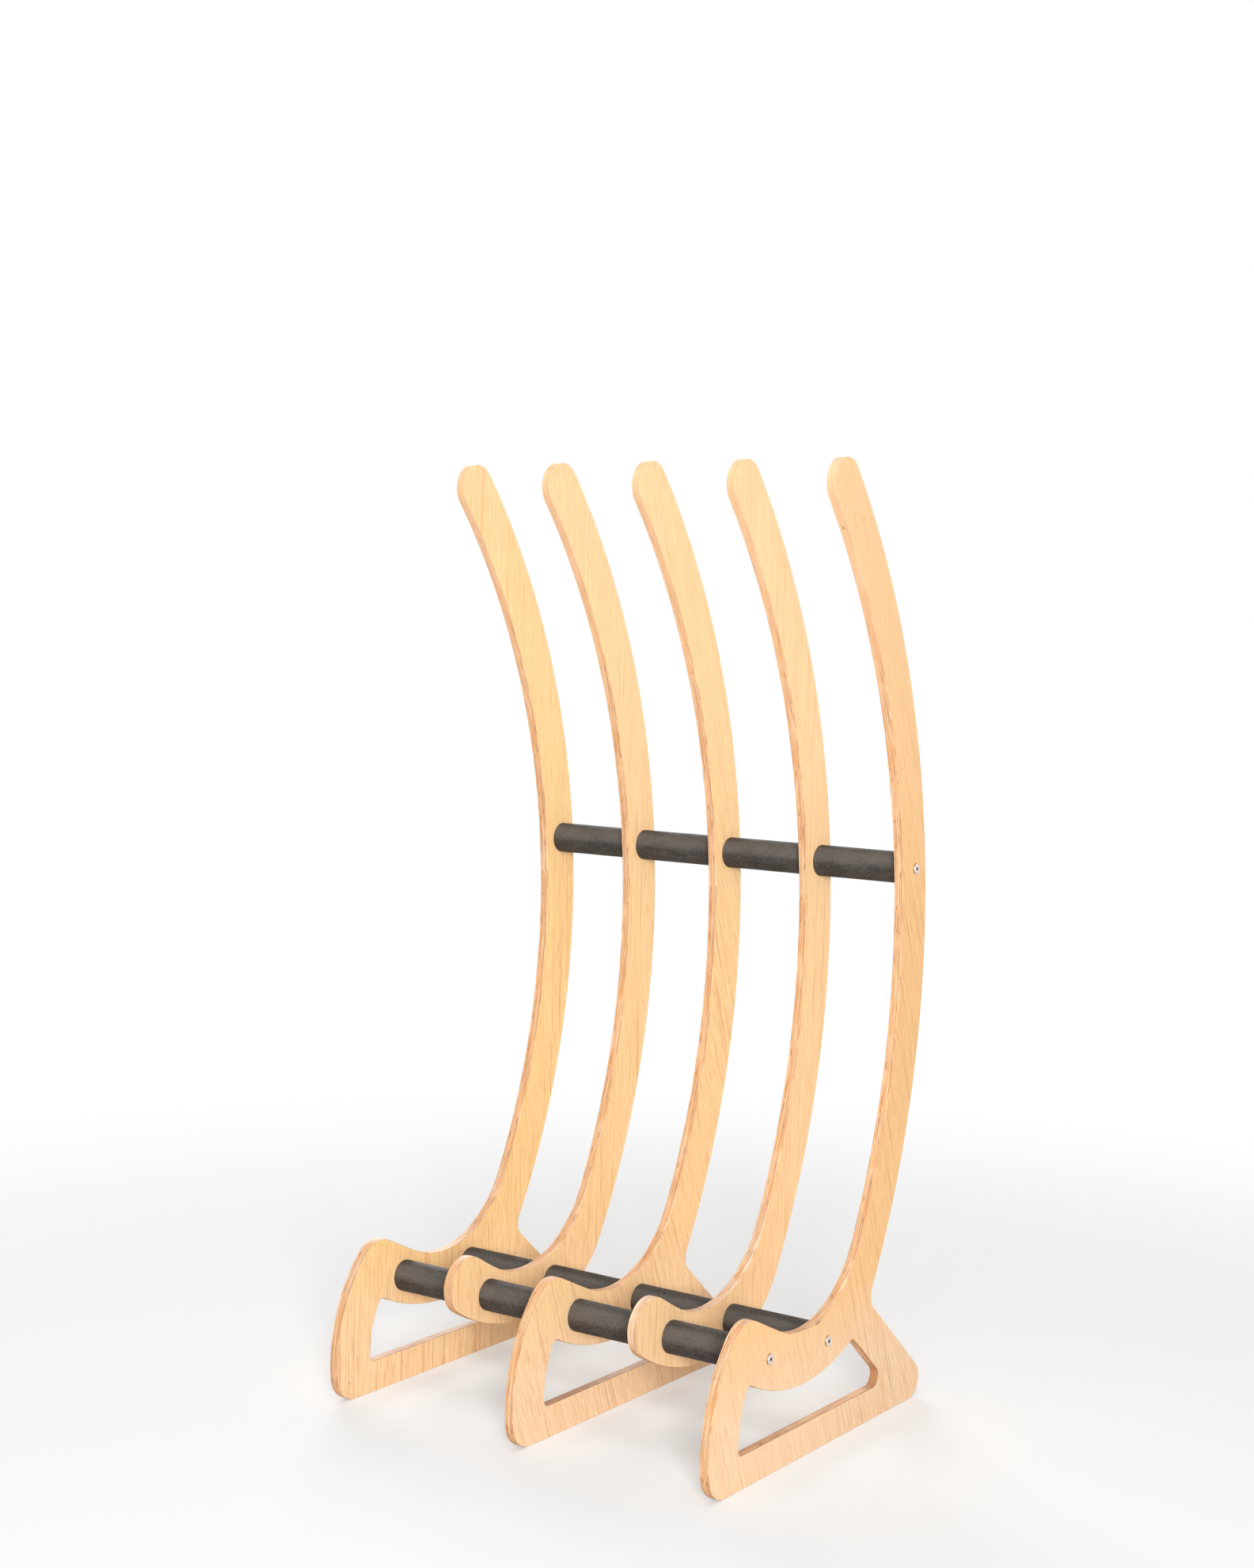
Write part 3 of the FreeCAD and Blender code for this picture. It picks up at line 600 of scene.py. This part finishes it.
def sleeve_mesh(name, low, high, inner):
    """A tube that fills a box along X, with a bore and a skin as lightly uneven as cut foam."""
    outer = (high.z - low.z) / 2
    centre = (low + high) / 2
    shape = bmesh.new()
    rings = []
    for along, radius in sleeve_profile(high.x - low.x, outer, inner):
        ring = []
        for segment in range(SLEEVE_SEGMENTS):
            angle = 2 * math.pi * segment / SLEEVE_SEGMENTS
            way = Vector((0, math.cos(angle), math.sin(angle)))
            spot = Vector((low.x + along, centre.y, centre.z)) + way * radius
            if radius > inner:
                spot += way * SLEEVE_WAVER * (noise.noise(spot * SLEEVE_WAVES) - 1)
            ring.append(shape.verts.new(spot))
        rings.append(ring)
    for first, second in zip(rings, rings[1:] + rings[:1]):
        for segment in range(SLEEVE_SEGMENTS):
            after = (segment + 1) % SLEEVE_SEGMENTS
            shape.faces.new((first[segment], first[after], second[after], second[segment]))
    bmesh.ops.recalc_face_normals(shape, faces=shape.faces)
    mesh = bpy.data.meshes.new(name)
    shape.to_mesh(mesh)
    shape.free()
    mesh.shade_smooth()
    mesh.set_sharp_from_angle(angle=SLEEVE_SHARP)
    return mesh


def make_sleeve(line, bay, material):
    """A foam tube between two panels, in place of its CAD node."""
    node = "%s_foam_sleeve_%d" % (line, bay)
    low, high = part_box(node)
    core_low, core_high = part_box("%s_core_tube_%d" % (line, bay))
    inner = (core_high.z - core_low.z) / 2 + SLEEVE_CLEARANCE
    mesh = sleeve_mesh("%s_foam_%d" % (line, bay), low, high, inner)
    mesh.materials.append(material)
    piece = bpy.data.objects.new(mesh.name, mesh)
    bpy.context.scene.collection.objects.link(piece)
    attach(piece, "root")
    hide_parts(node)


for node, panel in PANELS.items():
    dress(node, plywood(node, panel))

padding = foam()
steel = metal("stud_steel", STUD_PALE, STUD_DARK, STUD_ROUGHNESS, STUD_WAVES)
plated = metal("bolt_steel", BOLT_PALE, BOLT_DARK, BOLT_ROUGHNESS, BOLT_WAVES, bolt=True)
aluminium = metal("drawn_aluminium", TUBE_PALE, TUBE_DARK, TUBE_ROUGHNESS, TUBE_WAVES)
black = moulded_plastic()
for line in LINES:
    for bay in BAYS:
        make_sleeve(line, bay, padding)
        dress("%s_core_tube_%d" % (line, bay), aluminium)
        dress("%s_tube_plugs_%d" % (line, bay), black)
    dress("%s_joining_studs" % line, steel)
for node in ("left_end_bolts", "right_end_bolts"):
    dress(node, plated)


# floor: it turns white from near to far, and its lift is light that only the camera, mirrors and glass see
WHITE = (1, 1, 1, 1)
FLOOR_HALF = 30.0
FLOOR_COLOUR = (0.62, 0.62, 0.62, 1)
FLOOR_LIFT = 0.28
FLOOR_NEAR = 1.0
FLOOR_FAR = 2.6


def seen_plainly(graph):
    """1 for rays that show the background to the camera, mirrors and glass."""
    path = graph.add("LightPath", {}).outputs
    shown = graph.math("MAXIMUM", path["Is Camera Ray"], path["Is Glossy Ray"])
    return graph.math("MAXIMUM", shown, path["Is Transmission Ray"])


def make_floor():
    """A pale floor that keeps the shadow near the stand and fades to the white background."""
    shape = bmesh.new()
    bmesh.ops.create_grid(shape, x_segments=1, y_segments=1, size=FLOOR_HALF)
    mesh = bpy.data.meshes.new("floor")
    shape.to_mesh(mesh)
    shape.free()
    graph = new_material("floor")
    shown = seen_plainly(graph)
    paint = graph.add("BsdfDiffuse", {"Color": FLOOR_COLOUR})
    lift = graph.add("Emission", {"Color": WHITE, "Strength": graph.product(shown, FLOOR_LIFT)})
    near = graph.add("AddShader", {0: paint.outputs[0], 1: lift.outputs[0]})
    white = graph.add("Emission", {"Color": WHITE, "Strength": 1.0})
    fade = graph.product(graph.span(graph.length(graph.place()), FLOOR_NEAR, FLOOR_FAR), shown)
    both = graph.add("MixShader", {0: fade, 1: near.outputs[0], 2: white.outputs[0]})
    mesh.materials.append(graph.finish(both))
    floor = bpy.data.objects.new("floor", mesh)
    bpy.context.scene.collection.objects.link(floor)


WORLD_LIGHT = 0.24


def make_world():
    """Even light from all round, and a white background."""
    graph = Graph(bpy.data.worlds.new("studio"))
    light = graph.add("Background", {"Color": WHITE, "Strength": WORLD_LIGHT})
    white = graph.add("Background", {"Color": WHITE, "Strength": 1.0})
    shown = seen_plainly(graph)
    both = graph.add("MixShader", {0: shown, 1: light.outputs[0], 2: white.outputs[0]})
    bpy.context.scene.world = graph.finish(both, "OutputWorld")


# softboxes: name, place, side in metres and watts
LAMPS = (
    ("key", Vector((4.4, -5.3, 2.1)), 1.6, 432),
    ("fill", Vector((3.2, -5.0, 4.2)), 3.0, 110),
    ("top", Vector((0.3, -1.2, 4.8)), 3.0, 65),
    ("back", Vector((-5.0, 4.4, 3.2)), 4.0, 300),
)
LAMP_AIM = Vector((0, 0, 0.6))


def make_lamps():
    """The softboxes, all turned to the stand."""
    for name, place, side, watts in LAMPS:
        data = bpy.data.lights.new(name, "AREA")
        data.size = side
        data.energy = watts
        lamp = bpy.data.objects.new(name, data)
        lamp.location = place
        lamp.rotation_mode = "QUATERNION"
        lamp.rotation_quaternion = (LAMP_AIM - place).to_track_quat("-Z", "Y")
        bpy.context.scene.collection.objects.link(lamp)


def make_camera():
    """The camera that took the photograph."""
    data = bpy.data.cameras.new("photo_camera")
    # the sensor's width lies along the longer side of the image, its height
    data.lens = FOCAL_PIXELS / IMAGE_HEIGHT * data.sensor_width
    camera = bpy.data.objects.new("photo_camera", data)
    level = math.cos(CAMERA_ELEVATION)
    ahead = Vector((
        -math.sin(CAMERA_AZIMUTH) * level,
        math.cos(CAMERA_AZIMUTH) * level,
        -math.sin(CAMERA_ELEVATION),
    ))
    right = Vector((math.cos(CAMERA_AZIMUTH), math.sin(CAMERA_AZIMUTH), 0))
    up = right.cross(ahead)
    rolled_right = right * math.cos(CAMERA_ROLL) + up * math.sin(CAMERA_ROLL)
    rolled_up = up * math.cos(CAMERA_ROLL) - right * math.sin(CAMERA_ROLL)
    turn = Matrix((rolled_right, rolled_up, -ahead)).transposed()
    camera.matrix_world = Matrix.Translation(CAMERA_PLACE) @ turn.to_4x4()
    bpy.context.scene.collection.objects.link(camera)
    bpy.context.scene.camera = camera


make_floor()
make_world()
make_lamps()
make_camera()
bpy.context.scene.view_settings.view_transform = "Standard"
